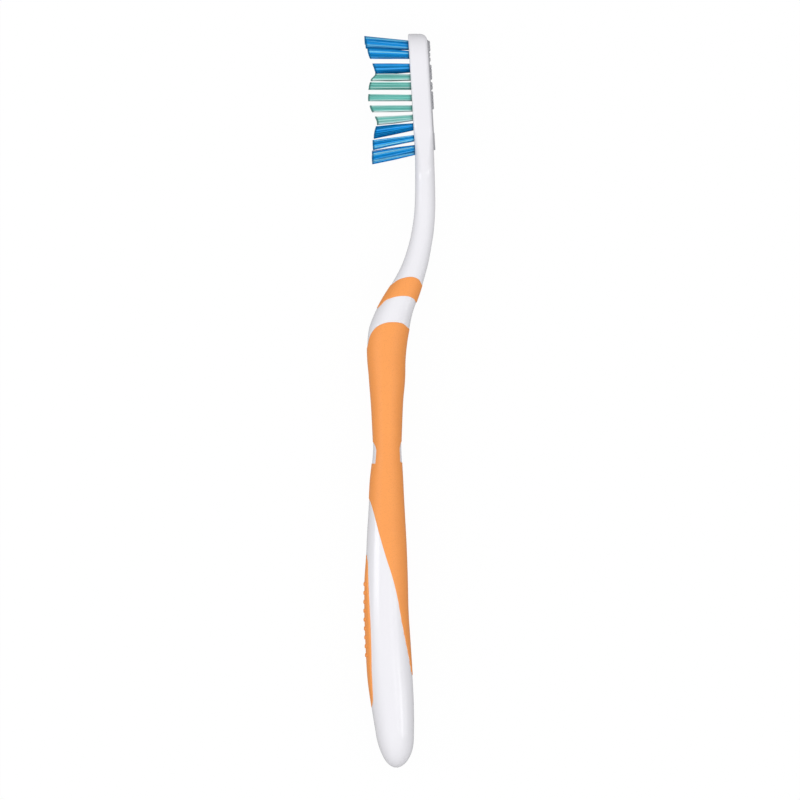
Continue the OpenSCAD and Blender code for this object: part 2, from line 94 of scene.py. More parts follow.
# Centre line and sizes of the handle, as shares along it
BEND = [
    (0, 0.987), (0.06, 1), (0.09, 0.992), (0.124, 0.937), (0.15, 0.857), (0.177, 0.742),
    (0.203, 0.581), (0.229, 0.385), (0.255, 0.2), (0.281, 0.076), (0.307, 0.018),
    (0.334, 0.002), (0.36, 0.018), (0.4, 0.018), (0.451, 0.024), (0.49, 0.025),
    (0.53, 0.008), (0.58, 0.004), (0.64, 0), (1, 0),
]
SWEEP = [
    (0, 0), (0.72, 0), (0.75, 0.03), (0.791, 0.165), (0.844, 0.36), (0.87, 0.485),
    (0.896, 0.6), (0.922, 0.74), (0.948, 0.866), (0.975, 1), (1, 1),
]
NECK_TO_THUMB = [
    (0.06, 0), (0.098, 0.045), (0.124, 0.1), (0.15, 0.16), (0.177, 0.29), (0.203, 0.48),
    (0.229, 0.73), (0.255, 0.87), (0.281, 1),
]
THUMB_TO_WAIST = [
    (0.307, 0.07), (0.334, 0.22), (0.373, 0.45), (0.399, 0.68), (0.438, 0.88), (0.475, 1),
]
WAIST_TO_BELLY = [
    (0.5, 0.1), (0.53, 0.29), (0.556, 0.39), (0.582, 0.5), (0.634, 0.72), (0.687, 0.85),
    (0.739, 0.91), (0.791, 0.97), (0.844, 1),
]
BELLY_TO_END = [(0.87, 0.06), (0.896, 0.16), (0.922, 0.43), (0.948, 0.76), (1, 1)]
NECK_TO_THUMB_W = [
    (0.03, 0), (0.11, 0), (0.15, 0.08), (0.177, 0.19), (0.203, 0.37), (0.229, 0.57),
    (0.255, 0.77), (0.281, 0.93), (0.307, 1),
]
THUMB_TO_WAIST_W = [(0.345, 0.03), (0.4, 0.45), (0.44, 0.85), (0.475, 1)]
WAIST_TO_BELLY_W = [(0.5, 0.06), (0.53, 0.27), (0.6, 0.7), (0.68, 0.95), (0.74, 1)]
BELLY_TO_END_W = [(0.84, 0.03), (0.9, 0.35), (0.948, 0.75), (1, 1)]

# Outlines of the soft pieces: share of the handle's depth from the front, and share along it
BAND_TOP = [
    (-0.35, 0.222), (0, 0.2105), (0.12, 0.203), (0.3, 0.1992), (0.52, 0.1975), (0.7, 0.199),
    (0.86, 0.203), (0.98, 0.21), (1.35, 0.222),
]
BAND_BOTTOM = [
    (-0.35, 0.251), (0.01, 0.2492), (0.06, 0.244), (0.11, 0.2375), (0.2, 0.234), (0.34, 0.231),
    (0.57, 0.2295), (0.73, 0.2305), (0.86, 0.2332), (0.94, 0.2365), (1, 0.2405), (1.35, 0.256),
]
GRIP_TOP = [
    (-0.35, 0.32), (-0.03, 0.316), (0.015, 0.309), (0.042, 0.297), (0.083, 0.289),
    (0.15, 0.2815), (0.29, 0.2747), (0.55, 0.2715), (0.85, 0.275), (0.98, 0.2815), (1.35, 0.29),
]
GRIP_TAIL = [
    (-0.35, 0.553), (0, 0.561), (0.139, 0.582), (0.265, 0.608), (0.387, 0.6345), (0.51, 0.661),
    (0.629, 0.686), (0.72, 0.711), (0.79, 0.736), (0.837, 0.761), (0.893, 0.792),
    (0.943, 0.817), (0.98, 0.842), (1.02, 0.853), (1.35, 0.86),
]
# The handle carries no soft piece before this share of it
SOFT_FROM = 0.15
# Steepest slant of an outline that its insets make up for
MAX_SLANT = 5

# Seats of the soft pieces. A recess deepens from a little inside its piece's outline. The piece's
# rim and inside reach below the skin, and its inside stops short of the floor of the recess.
RECESS_START, RECESS_RUN = 0.5, 0.8
RIM_SINK = 0.25
INNER_SINK, INNER_START, INNER_STOP = 0.3, 0.55, 1.35
FLOOR_GAP = 0.1

# Outline of the front pad: share along the handle, and share of its depth
PAD = [
    (0.651, 0), (0.661, 0.04), (0.686, 0.06), (0.711, 0.078), (0.736, 0.098), (0.761, 0.11),
    (0.792, 0.106), (0.817, 0.1), (0.842, 0.084), (0.867, 0.07), (0.892, 0.05), (0.903, 0),
]
PAD_START, PAD_STOP = 0.651, 0.903
# How far the pad's two ends stand proud, and how far in it has its full height
PAD_END_PROUND, PAD_END_RUN = 0.05, 7
SPOT_START, SPOT_STOP = 0.7, 0.83
# Profile of a raised spot: share of its radius, and share of its height, or a depth below 0
SPOT_PROFILE = [(1.0, -0.4), (1.0, 0.1), (0.93, 0.45), (0.75, 0.75), (0.45, 0.94), (0.15, 1.0)]

# Windows at the waist: share of its half width, and share along the handle
FRONT_WINDOW = [
    (0, 0.467), (0.3, 0.4675), (0.51, 0.47), (0.66, 0.4745), (0.74, 0.481), (0.74, 0.503),
]
BACK_WINDOW = [
    (0, 0.466), (0.3, 0.4675), (0.48, 0.471), (0.59, 0.478), (0.59, 0.499), (0.5, 0.5012),
]
# Beyond this share of the half width the points of a window lie on its sides
WINDOW_SIDE = 0.3
WINDOW_REACH = 7

# Rows of tufts from the tip: place in the field, tufts, how far the outer tufts stand towards the
# tip, leans and fan, as shares
ROWS = [0, 0.12, 0.247, 0.315, 0.402, 0.502, 0.599, 0.684, 0.774, 0.872, 1]
ROW_TUFTS = [3, 4, 4, 4, 4, 4, 4, 4, 4, 4, 3]
ROW_BOW = [-0.59, 0.3, 0.48, 0, 0.24, 0, 0, 0, 0.18, 0, 0.62]
ROW_TOE_LEAN = [1, 0.67, 0.34, 0.4, 0.44, 0.44, 0.33, 0, 0, 0, 0]
ROW_HEEL_LEAN = [0, 0, 0, 0, 0, 0, 0, 0.14, 0.8, 0.89, 1]
ROW_FAN = [0.46, 0.6, 0.24, 0.07, 0.07, 0.07, 0.1, 0.42, 1, 0.87, 0.8]
# Painted light (above 0) and painted shade (below 0) on the nylon of each row
ROW_LIGHT_AND_SHADE = [0, 0, -0.3, 0.1, 0, 0, 0.05, 0.4, -0.35, 0, 0.05]
# The teal rows
MIDDLE_ROWS = range(3, 8)
# Rows whose tufts swell against their neighbour above the plate, and the side that they do it on
TOUCHING_ROWS = {0: -1, 1: 1, 2: -1, 3: 1, 7: -1, 8: 1}
SWELL = 0.2
FAN_AT = 0.77
TRIM = [
    (-0.2, 1), (-0.05, 0.99), (0.05, 0.96), (0.13, 0.935), (0.2, 0.895), (0.263, 0.825),
    (0.3, 0.82), (0.364, 0.885), (0.418, 0.95), (0.475, 0.98), (0.58, 0.952), (0.65, 0.885),
    (0.68, 0.8), (0.79, 0.855), (0.883, 0.937), (1.013, 1), (1.2, 1.02),
]

# Filaments: how they scatter in turn, in lean (degrees), in bow and in height
GOLDEN_TURN = math.radians(137.508)
TURN_SCATTER, LEAN_SCATTER, BOW_SCATTER, TRIM_SCATTER = 0.12, 0.25, 0.04, 0.03
# A filament starts below the plate, and has a ring near its root and one near its tip
STRAND_SINK, ROOT_RING, TIP_RING = 0.6, 0.35, 0.6
# Its rounded end: length as a share of its thickness, and shares of that length and of its width
END_SHARE = 0.45
END_PROFILE = [(1, 1.0), (0.4, 0.82), (0.08, 0.5), (0, 0.18)]
# Share along a filament at each ring: 0 at the root, 1 at the tip; painted shade falls near both.
# The rounded end goes back a little, so that its painted shade is lighter, for the light that
# comes out of it again.
STRAND_SHARES = [0, 0, 0.1, 0.5, 0.9, 1, 1, 0.93, 0.9]
# Brightness of a filament: middle, strength and waves of the painted highlight and shade streaks
# across a tuft, and random scatter. The two sides of a blue tuft are painted deeper as shade, and
# those of a teal one painted paler as light passing through them.
TONE_MIDDLE, HIGHLIGHT_SWING, HIGHLIGHT_WAVES, TONE_SCATTER = 0.55, 0.42, 7, 0.13
TEAL_HIGHLIGHT_SWING = 0.5
SIDE_SHADE, SHADE_FROM, SHADE_RUN = 0.5, 0.7, 0.3
SIDE_BACKLIGHT, BACKLIGHT_FROM, BACKLIGHT_RUN = 0.8, 0.5, 0.4

# Blocks of nubs on the tongue cleaner: first and last place from the tip, rows, height
NUB_BLOCKS = [
    (2.5, 4.3, 3, 0.68), (5.6, 6.9, 2, 0.56), (8.8, 11.6, 4, 0.7), (13.3, 14.2, 2, 0.68),
    (15.7, 19.3, 5, 0.7),
]
NUBS_ACROSS, NUB_PITCH, NUB_SINK = 6, 1.5, 0.05
# Profile of a nub: shares of its radius and of its height
NUB_PROFILE = [(1.1, 0.0), (1.0, 0.35), (0.92, 0.7), (0.7, 0.92), (0.3, 1.0)]
CLEANER_BASE, CLEANER_EDGE, CLEANER_GAP = 0.3, 0.25, 0.02
# Nubs and bar keep this far inside the cleaner's outline
CLEANER_MARGIN = 0.15
# Bar at the heel: first and last place from the tip, and height. Height of its foot above the
# head, radius of its edge, and inset of the ring on its flat top
CLEANER_BAR = (26.0, 30.4, 0.42)
BAR_FOOT, BAR_EDGE, BAR_FLAT = 0.1, 0.1, 1.2

# Steps of the meshes. A cutter reaches this far past the face that it opens.
ARC_STEPS, FLAT_STEPS = 14, 4
END_STEPS, RING_PITCH = 26, 0.8
PAD_ACROSS, PAD_ALONG = 28, 84
HOLE_SIDES, KNOB_SIDES, STRAND_SIDES = 24, 14, 6
CLEANER_STEPS, BAR_STEPS = 24, 20
CUT_OVER = 1.0
SHARP, STRAND_SHARP = 40, 60

# Most values of a noise lie between these two
NOISE_LOW, NOISE_HIGH = 0.25, 0.75

FLOOR_SIZE, FLOOR_DROP = 3000, 0.03
# The tent's light at the level of the brush and overhead, and what its two ends add
SKY_LOW, SKY_HIGH, SKY_ENDS = 0.58, 0.865, 0.32
# Lamps: name, place in metres, length along and across in metres, power in watts
LAMPS = [
    ("Left panel", (-0.5, -0.01, 0.29), 0.12, 0.42, 0.65),
    ("Right strip", (0.42, -0.1, 0.4), 0.06, 1.0, 0.4),
    ("End panel", (0.42, -0.12, 0.4), 0.12, 0.1, 0.17),
]
# The photograph is 800 by 800 and this wide, seen square on by a long lens.
PHOTO_WIDTH, PHOTO_X, PHOTO_Y = 207.22, 0.155, 0.194
LENS, SENSOR = 500, 36


def linear(code):
    """Linear colour of an sRGB hex value."""
    shares = [int(code[i:i + 2], 16) / 255 for i in (0, 2, 4)]
    return [c / 12.92 if c <= 0.04045 else ((c + 0.055) / 1.055) ** 2.4 for c in shares]


def colour(name, code, what):
    """A colour that a user would change."""
    return bpy.props.FloatVectorProperty(
        name=name, description=what, subtype="COLOR", size=3, min=0, max=1, default=linear(code))


def length(name, default_mm, what):
    """A length that a user would change, given in millimetres."""
    return bpy.props.FloatProperty(
        name=name, description=what, default=default_mm * MM, min=0, unit="LENGTH", precision=5)


class ToothbrushSizes(bpy.types.PropertyGroup):
    """Sizes of the finish. The shape itself follows the solids."""
    grip_proud: length("Grip proud", 0.12, "How far the grip and the neck band stand proud")
    grip_edge: length("Grip edge", 0.28, "Radius of the edge of the grip and the neck band")
    pad_proud: length("Pad proud", 0.32, "How far the front pad stands proud")
    pad_edge: length("Pad edge", 0.38, "Radius of the edge of the front pad")
    spot_d: length("Spot diameter", 1.1, "Diameter of a raised spot on the front pad")
    spot_h: length("Spot height", 0.25, "Height of a raised spot on the front pad")
    spot_pitch: length("Spot pitch", 2.3, "Distance between the raised spots")
    nub_d: length("Nub diameter", 0.9, "Diameter of a nub on the tongue cleaner")
    strand_d: length("Filament diameter", 0.2, "Diameter of one nylon filament")
    strands: bpy.props.IntProperty(
        name="Filaments", description="Filaments in one tuft", default=48, min=8, max=80)


class ToothbrushColours(bpy.types.PropertyGroup):
    """Colours of the finish."""
    plastic: colour("Plastic", "F0EFF4", "White polypropylene of the handle")
    soft: colour("Soft orange", "FFA252", "Orange rubber of the grip, the band and the pad")
    cleaner: colour("Soft grey", "B2B2B7", "Grey rubber of the tongue cleaner")
    # Painted light: the two filament colours are lifted above the nylon's own, for the light that
    # passes through a tuft.
    blue: colour("Blue filament", "06ACFF", "Nylon of the tufts at the toe and the heel")
    # Painted light: the lit colours stand for light passing through the strands.
    painted_light_blue: colour("Lit blue filament", "98EEFF", "Blue nylon where light passes through")
    teal: colour("Teal filament", "74CCC1", "Nylon of the tufts in the middle")
    # Painted light, as for the lit blue.
    painted_light_teal: colour("Lit teal filament", "A6E6DF", "Teal nylon where light passes through")
    # Painted backlight at the narrow edges of a teal tuft.
    clear: colour("Clear filament", "F6FFFE", "Thin edge of a teal tuft, lit from behind")
    brass: colour("Brass", "C9A65A", "Anchor plates in the holes")
    floor: colour("Floor", "FFFFFF", "Floor under the brush")


# Shares and curves

def mix(a, b, t):
    return a + (b - a) * t


def clamp(t):
    return max(0.0, min(1.0, t))


def smooth(t):
    t = clamp(t)
    return t * t * (3 - 2 * t)


def round_in(t):
    return math.sqrt(1 - (1 - clamp(t)) ** 2)


def through(table, x):
    """Smooth curve through the points of a table, level outside it."""
    i = max(0, min(len(table) - 2, bisect.bisect_right(table, (x, math.inf)) - 1))
    (ax, ay), (bx, by) = table[i], table[i + 1]
    w = bx - ax
    t = clamp((x - ax) / w)
    rise = (by - ay) / w

    def slope(j):
        return (table[j + 1][1] - table[j][1]) / (table[j + 1][0] - table[j][0])

    start = (rise + slope(i - 1)) / 2 if i else rise
    stop = (rise + slope(i + 1)) / 2 if i + 2 < len(table) else rise
    return (ay * (1 + 2 * t) * (1 - t) ** 2 + start * w * t * (1 - t) ** 2
            + by * t * t * (3 - 2 * t) + stop * w * t * t * (t - 1))


def between(shares, a, b):
    """A table of sizes from shares of the way from one size to the next."""
    return [(s, mix(a, b, t)) for s, t in shares]


def circle(sides):
    """Directions from the middle of a circle to its points."""
    turns = [2 * math.pi * k / sides for k in range(sides)]
    return [(math.cos(t), math.sin(t)) for t in turns]


def rounding(edge, top, steps):
    """Insets and heights of a rounded edge, from its foot to its top."""
    turns = [math.radians(90 * k / steps) for k in range(steps + 1)]
    return [(edge * (1 - math.cos(t)), top - edge + edge * math.sin(t)) for t in turns]


DEPTHS = (
    [(0, HEAD_X)] + between(NECK_TO_THUMB, NECK_T, THUMB_T)
    + between(THUMB_TO_WAIST, THUMB_T, WAIST_T) + between(WAIST_TO_BELLY, WAIST_T, BELLY_T)
    + between(BELLY_TO_END, BELLY_T, END_T))
WIDTHS = (
    between(NECK_TO_THUMB_W, NECK_W, THUMB_W) + between(THUMB_TO_WAIST_W, THUMB_W, WAIST_W)
    + between(WAIST_TO_BELLY_W, WAIST_W, BELLY_W) + between(BELLY_TO_END_W, BELLY_W, END_W))


# Shape of the brush

def handle_share(u):
    return (u - HEAD_LEN) / HANDLE_LEN


def handle_place(s):
    return HEAD_LEN + s * HANDLE_LEN


def rounded_end(size, u):
    return max(END_FLAT, size * round_in((BRUSH_LEN - u) / END_ROUND))


def handle_centre(s):
    return BEND_RISE * through(BEND, s) + END_RISE * through(SWEEP, s)


def depth_at(u):
    """Front and back of the brush at a place along it."""
    if u < HEAD_LEN:
        centre = handle_centre(0) - (HEAD_LEN - u) * math.tan(HEAD_TILT)
        return (centre - HEAD_X / 2 + TIP_FRONT_EDGE * (1 - round_in(u / TIP_FRONT_EDGE)),
                centre + HEAD_X / 2 - TIP_BACK_EDGE * (1 - round_in(u / TIP_BACK_EDGE)))
    s = handle_share(u)
    half = rounded_end(through(DEPTHS, s), u) / 2
    return handle_centre(s) - half, handle_centre(s) + half


def heel_share(u):
    return smooth((u - HEAD_LEN + HEEL_TAPER) / (HEEL_TAPER + NECK_TAPER))


def half_width(u):
    if u < HEAD_LEN + NECK_TAPER:
        head = mix(TIP_FLAT / 2, HEAD_W / 2, round_in(u / TIP_ROUND))
        return mix(head, NECK_W / 2, heel_share(u))
    return rounded_end(through(WIDTHS, handle_share(u)), u) / 2


def section(u, grow=0.0):
    """Centre, half sizes and corner radii of the section at a place."""
    front, back = depth_at(u)
    a, b = (back - front) / 2 + grow, half_width(u) + grow
    t = heel_share(u)
    rx = mix(min(HEAD_EDGE, a * CORNER_SHARE), a * CORNER_SHARE, t)
    rz = mix(min(HEAD_EDGE, b * CORNER_SHARE), b * CORNER_SHARE, t)
    return (front + back) / 2, a, b, rx, rz


def ring_spots():
    """Spots round a section: place on its inner box, and direction on its rounded corner."""
    corners = [(1, 1), (-1, 1), (-1, -1), (1, -1)]
    spots = []
    for q, (x, z) in enumerate(corners):
        next_x, next_z = corners[(q + 1) % 4]
        turns = [math.radians(90 * (q + k / ARC_STEPS)) for k in range(ARC_STEPS + 1)]
        spots += [(x, z, math.cos(t), math.sin(t)) for t in turns]
        shares = [k / FLAT_STEPS for k in range(1, FLAT_STEPS)]
        spots += [(mix(x, next_x, t), mix(z, next_z, t), math.cos(turns[-1]), math.sin(turns[-1]))
                  for t in shares]
    return spots


RING = ring_spots()
# Share of the handle's depth at each spot, on the all but elliptical sections
RING_DEPTH = [(1 + x * (1 - CORNER_SHARE) + c * CORNER_SHARE) / 2 for x, z, c, s in RING]


def spot_at(u, spot, grow=0.0):
    """Point on the brush at a place along it and a spot round it, in millimetres."""
    centre, a, b, rx, rz = section(u, grow)
    x, z, c, s = spot
    return Vector((
        centre + x * (a - rx) + rx * c + SHIFT_X,
        BRUSH_LEN / 2 - u,
        z * (b - rz) + rz * s + LIFT_Z,
    ))


class Outline:
    """Outline of a soft piece round the handle: place and slant at each spot of a ring."""

    def __init__(self, table):
        self.places = [handle_place(through(table, p)) for p in RING_DEPTH]
        points = [spot_at(u, spot) for u, spot in zip(self.places, RING)]
        count = len(RING)
        self.slants = []
        for j in range(count):
            a, b = points[j - 1], points[(j + 1) % count]
            round_it = math.hypot(b.x - a.x, b.z - a.z)
            self.slants.append(math.hypot(1, min(abs(b.y - a.y) / round_it, MAX_SLANT)))


BAND = (Outline(BAND_TOP), Outline(BAND_BOTTOM))
GRIP = (Outline(GRIP_TOP), Outline(GRIP_TAIL))


def inside_sleeve(sleeve, u, j):
    """How far inside a sleeve's outlines a spot lies."""
    top, bottom = sleeve
    return min((u - top.places[j]) / top.slants[j], (bottom.places[j] - u) / bottom.slants[j])


def outside_window(table, u, z):
    """How far outside a waist window a point of the surface lies."""
    s = handle_share(u)
    start, stop = handle_place(table[0][1]), handle_place(table[-1][1])
    rows = [(place, share) for share, place in table if share > WINDOW_SIDE]
    reach = rows[-1][1]
    for (s0, w0), (s1, w1) in zip(rows, rows[1:]):
        if s0 <= s <= s1:
            reach = mix(w0, w1, (s - s0) / (s1 - s0))
    return max(start - u, u - stop, abs(z) - reach * WAIST_W / 2)


def pad_reach(u):
    """Half width of the front pad at a place along the handle."""
    p = through(PAD, handle_share(u))
    c = min(1.0, (1 - 2 * max(p, 0) - (1 - CORNER_SHARE)) / CORNER_SHARE)
    return half_width(u) * (1 - CORNER_SHARE + CORNER_SHARE * math.sqrt(1 - c * c))


def inside_pad(u, z):
    """How far inside the pad's outline a point lies, or -1 beyond its ends."""
    start, stop = handle_place(PAD_START), handle_place(PAD_STOP)
    if not start < u < stop:
        return -1.0
    return min(pad_reach(u) - abs(z), u - start, stop - u)


def recess(u, j):
    """Depth of the recess for a soft piece at a spot of the handle."""
    z = spot_at(u, RING[j]).z - LIFT_Z
    front = RING_DEPTH[j] < 0.5
    window = outside_window(FRONT_WINDOW if front else BACK_WINDOW, u, z)
    deep = max(inside_sleeve(BAND, u, j), min(inside_sleeve(GRIP, u, j), window))
    if front:
        deep = max(deep, inside_pad(u, z))
    return GRIP_WALL * smooth((deep - RECESS_START) / RECESS_RUN)


# Making meshes

def skin(bm, levels, sides):
    """Skins through levels of rings, each extruded from the one before. A level holds the points of
    all its rings, one ring after the other."""
    count = len(levels[0]) // sides
    ring = []
    for _ in range(count):
        ring += bmesh.ops.create_circle(bm, segments=sides, radius=1)["verts"]
    edges = list({e for v in ring for e in v.link_edges})
    for v, point in zip(ring, levels[0]):
        v.co = point
    for points in levels[1:]:
        geom = bmesh.ops.extrude_edge_only(bm, edges=edges)["geom"]
        ring = [g for g in geom if isinstance(g, bmesh.types.BMVert)]
        edges = [g for g in geom if isinstance(g, bmesh.types.BMEdge)]
        for v, point in zip(ring, points):
            v.co = point


def cap(bm):
    """Closes every open loop."""
    bmesh.ops.holes_fill(bm, edges=[e for e in bm.edges if e.is_boundary], sides=0)


def mark_edges(bm, sharp):
    """Makes the faces smooth, and the edges sharp that turn by more than this many degrees."""
    limit = math.radians(sharp)
    for face in bm.faces:
        face.smooth = True
    for edge in bm.edges:
        edge.smooth = edge.calc_face_angle(0) < limit


def finish_mesh(bm, name, sharp=SHARP):
    """Turns the faces outwards, marks the sharp edges and makes an object, in metres."""
    bmesh.ops.remove_doubles(bm, verts=bm.verts, dist=1e-5)
    bmesh.ops.dissolve_degenerate(bm, dist=1e-6, edges=bm.edges)
    bmesh.ops.recalc_face_normals(bm, faces=bm.faces)
    mark_edges(bm, sharp)
    bmesh.ops.scale(bm, vec=Vector((MM, MM, MM)), verts=bm.verts)
    mesh = bpy.data.meshes.new(name)
    bm.to_mesh(mesh)
    bm.free()
    piece = bpy.data.objects.new(name, mesh)
    bpy.context.collection.objects.link(piece)
    return piece


def cut(piece, cutter):
    """Cuts a closed mesh from a piece, and leaves the result as the piece's own mesh."""
    modifier = piece.modifiers.new("Cut", "BOOLEAN")
    modifier.operation = "DIFFERENCE"
    modifier.solver = "EXACT"
    modifier.object = cutter
    bpy.context.view_layer.update()
    evaluated = piece.evaluated_get(bpy.context.evaluated_depsgraph_get())
    done = bpy.data.meshes.new_from_object(evaluated)
    piece.modifiers.clear()
    old, piece.data = piece.data, done
    done.name = piece.name
    bpy.data.meshes.remove(old)
    bpy.data.objects.remove(cutter, do_unlink=True)
    bm = bmesh.new()
    bm.from_mesh(done)
    mark_edges(bm, SHARP)
    bm.to_mesh(done)
    bm.free()
    if not done.polygons:
        raise RuntimeError("nothing is left of " + piece.name)


def settle(piece, slot, material, *nodes):
    """Gives a piece its finish and its body, and hides the solids that it stands for."""
    piece.data.materials.clear()
    piece.data.materials.append(material)
    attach(piece, BODY)
    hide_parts(*nodes)


HEAD_FRAME = (
    Matrix.Translation((depth_at(HEAD_LEN)[0] + SHIFT_X, BRUSH_LEN / 2 - HEAD_LEN, LIFT_Z))
    @ Matrix.Rotation(HEAD_TILT, 4, "Z"))


def row_place(r):
    return FIELD_END + FIELD_LEN * (1 - ROWS[r])


def row_lean(r):
    return math.radians(HEEL_LEAN * ROW_HEEL_LEAN[r] - TOE_LEAN * ROW_TOE_LEAN[r])


def tuft_out(r, c):
    """Place of a tuft in its row, from -1 to 1."""
    return (2 * c - ROW_TUFTS[r] + 1) / (ROW_TUFTS[r] - 1)


def tuft_place(r, c):
    return row_place(r) + HOLE_D * ROW_BOW[r] * tuft_out(r, c) ** 2


def tuft_frame(r, c):
    """Frame of a tuft: Z runs out of its hole, X across the brush."""
    side = tuft_out(r, c) * (ROW_TUFTS[r] - 1) / 2 * TUFT_PITCH
    return (HEAD_FRAME @ Matrix.Translation((0, tuft_place(r, c), side))
            @ Matrix.Rotation(row_lean(r), 4, "Z") @ Matrix.Rotation(math.radians(-90), 4, "Y"))


def tuft_name(r, c):
    return "tuft_row_%02d_no_%d" % (r + 1, c + 1)


# Materials

def add_node(tree, kind, settings=None, **inputs):
    """Adds a node with its settings and its inputs, which are values or other nodes' outputs. An
    input is given by its name, or by i and its number."""
    node = tree.nodes.new(kind)
    for key, value in (settings or {}).items():
        setattr(node, key, value)
    for key, value in inputs.items():
        numbered = key[0] == "i" and key[1:].isdigit()
        socket = node.inputs[int(key[1:]) if numbered else key.replace("_", " ")]
        if isinstance(value, bpy.types.NodeSocket):
            tree.links.new(value, socket)
        else:
            socket.default_value = value
    return node


def new_material(name):
    """An empty material, its nodes and the object's coordinates."""
    material = bpy.data.materials.new(name)
    material.use_nodes = True
    tree = material.node_tree
    tree.nodes.clear()
    return material, tree, add_node(tree, "ShaderNodeTexCoord").outputs["Object"]


def shaded(rgb, factor):
    """A colour made darker or lighter."""
    return [min(1.0, c * factor) for c in rgb] + [1.0]


def maths(tree, operation, *values):
    """Result of a math node."""
    inputs = {"i%d" % i: value for i, value in enumerate(values)}
    return add_node(tree, "ShaderNodeMath", {"operation": operation}, **inputs).outputs[0]


def ranged(tree, value, start, stop, low, high):
    """A value carried over from one range to another."""
    node = add_node(tree, "ShaderNodeMapRange", i0=value, i1=start, i2=stop, i3=low, i4=high)
    return node.outputs[0]


def noise(tree, where, size, detail, **inputs):
    """A noise whose features are this many millimetres across."""
    node = add_node(tree, "ShaderNodeTexNoise", Vector=where, Scale=1 / (size * MM),
                    Detail=detail, **inputs)
    return node.outputs[0]


def varied(tree, where, size, low, high, detail=2.0, stretch=(1, 1, 1)):
    """A value that wanders between two limits over the surface."""
    mapping = add_node(tree, "ShaderNodeMapping", Vector=where, Scale=stretch)
    value = noise(tree, mapping.outputs[0], size, detail)
    return ranged(tree, value, NOISE_LOW, NOISE_HIGH, low, high)


def blended(tree, factor, low, high):
    """A colour between two, by a factor."""
    node = add_node(tree, "ShaderNodeMix", {"data_type": "RGBA"}, i0=factor, i6=low, i7=high)
    return node.outputs[2]


def output(tree, shader):
    add_node(tree, "ShaderNodeOutputMaterial", Surface=shader.outputs[0])


def glossy_polypropylene(name, rgb):
    # Injection-moulded polypropylene from a polished tool: near white, a broad soft gloss, the
    # faintest orange peel, and a slightly cloudy colour where the wall is thick.
    material, tree, where = new_material(name)
    cloud = varied(tree, where, 18, 0, 1, 0)
    tint = blended(tree, cloud, shaded(rgb, 0.993), shaded(rgb, 1.003))
    # Orange peel is about 0.3 mm across; it is drawn at 0.8 mm so that it shows.
    peel = noise(tree, where, 0.8, 1.0)
    bump = add_node(tree, "ShaderNodeBump", Strength=0.1, Distance=0.006 * MM, Height=peel)
    shader = add_node(
        tree, "ShaderNodeBsdfPrincipled", Base_Color=tint, IOR=1.49,
        Roughness=varied(tree, where, 4, 0.18, 0.23, 1), Normal=bump.outputs[0])
    output(tree, shader)
    return material


def matt_rubber(name, rgb, grain_mm, rough):
    # Thermoplastic rubber moulded against a spark-eroded tool: matt, evenly grained, with painted
    # shade in the low hollows of the grain, and no sharp reflections.
    material, tree, where = new_material(name)
    cloud = varied(tree, where, 6, 0, 1, 3)
    base = blended(tree, cloud, shaded(rgb, 0.97), shaded(rgb, 1.02))
    # Real grain is 0.05 to 0.1 mm across and is drawn coarser so that it shows.
    grain = noise(tree, where, grain_mm, 3.0, Roughness=0.6)
    # Painted shade in the low hollows of the grain.
    painted_pit_shade = ranged(tree, grain, 0.3, 0.5, 1, 0)
    tint = blended(tree, painted_pit_shade, base, shaded(rgb, 0.9))
    bump = add_node(tree, "ShaderNodeBump", Strength=0.5, Distance=0.02 * MM, Height=grain)
    shader = add_node(
        tree, "ShaderNodeBsdfPrincipled", Base_Color=tint, IOR=1.5,
        Roughness=varied(tree, where, 2, rough - 0.05, rough + 0.05), Normal=bump.outputs[0])
    output(tree, shader)
    return material


def nylon_filament(name, rgb, painted_light_rgb, clear):
    # Extruded nylon filament, cut and end-rounded: a silky gloss along each strand, and strands
    # that differ a little at random, painted paler as light passing through them and deeper as
    # shade, with painted shade at the roots and the tips.
    material, tree, where = new_material(name)
    tone_and_light, along = [
        add_node(tree, "ShaderNodeAttribute", {"attribute_name": key}).outputs["Fac"]
        for key in ("strand_tone_and_light", "strand_along")]
    # Painted shade on the deep streaks, painted light on the lit ones, painted backlight on the
    # clear edges, and painted shade at the roots and the cut tips.
    deep = ranged(tree, tone_and_light, 0.0, 0.5, 1, 0)
    light = ranged(tree, tone_and_light, 0.55, 1.0, 0, 0.8)
    painted_backlight = ranged(tree, tone_and_light, 1.0, 1.5, 0, 0.8)
    root = ranged(tree, along, 0.0, 0.14, 1, 0)
    tip = ranged(tree, along, 0.9, 0.97, 0, 0.9)
    tint = blended(tree, deep, shaded(rgb, 1.0), shaded(rgb, 0.6))
    tint = blended(tree, light, tint, shaded(painted_light_rgb, 1.0))
    tint = blended(tree, painted_backlight, tint, shaded(clear, 1.0))
    tint = blended(tree, root, tint, shaded(rgb, 0.3))
    tint = blended(tree, tip, tint, shaded(rgb, 0.35))
    # Drawing lines run along a strand; a stretched noise stands for them.
    lines = varied(tree, where, 0.5, 0.26, 0.4, 2, (0.15, 1, 1))
    shader = add_node(
        tree, "ShaderNodeBsdfPrincipled", Base_Color=tint, Roughness=lines, IOR=1.53,
        Specular_IOR_Level=0.2)
    output(tree, shader)
    return material


def stamped_brass(name, rgb):
    # Thin brass strip, sheared to length: a dull yellow metal with fine rolling lines.
    material, tree, where = new_material(name)
    lines = varied(tree, where, 0.2, 0, 1, 3, (1, 1, 0.1))
    tint = blended(tree, lines, shaded(rgb, 0.85), shaded(rgb, 1.1))
    shader = add_node(
        tree, "ShaderNodeBsdfPrincipled", Base_Color=tint, Metallic=1.0,
        Roughness=varied(tree, where, 0.3, 0.25, 0.45))
    output(tree, shader)
    return material


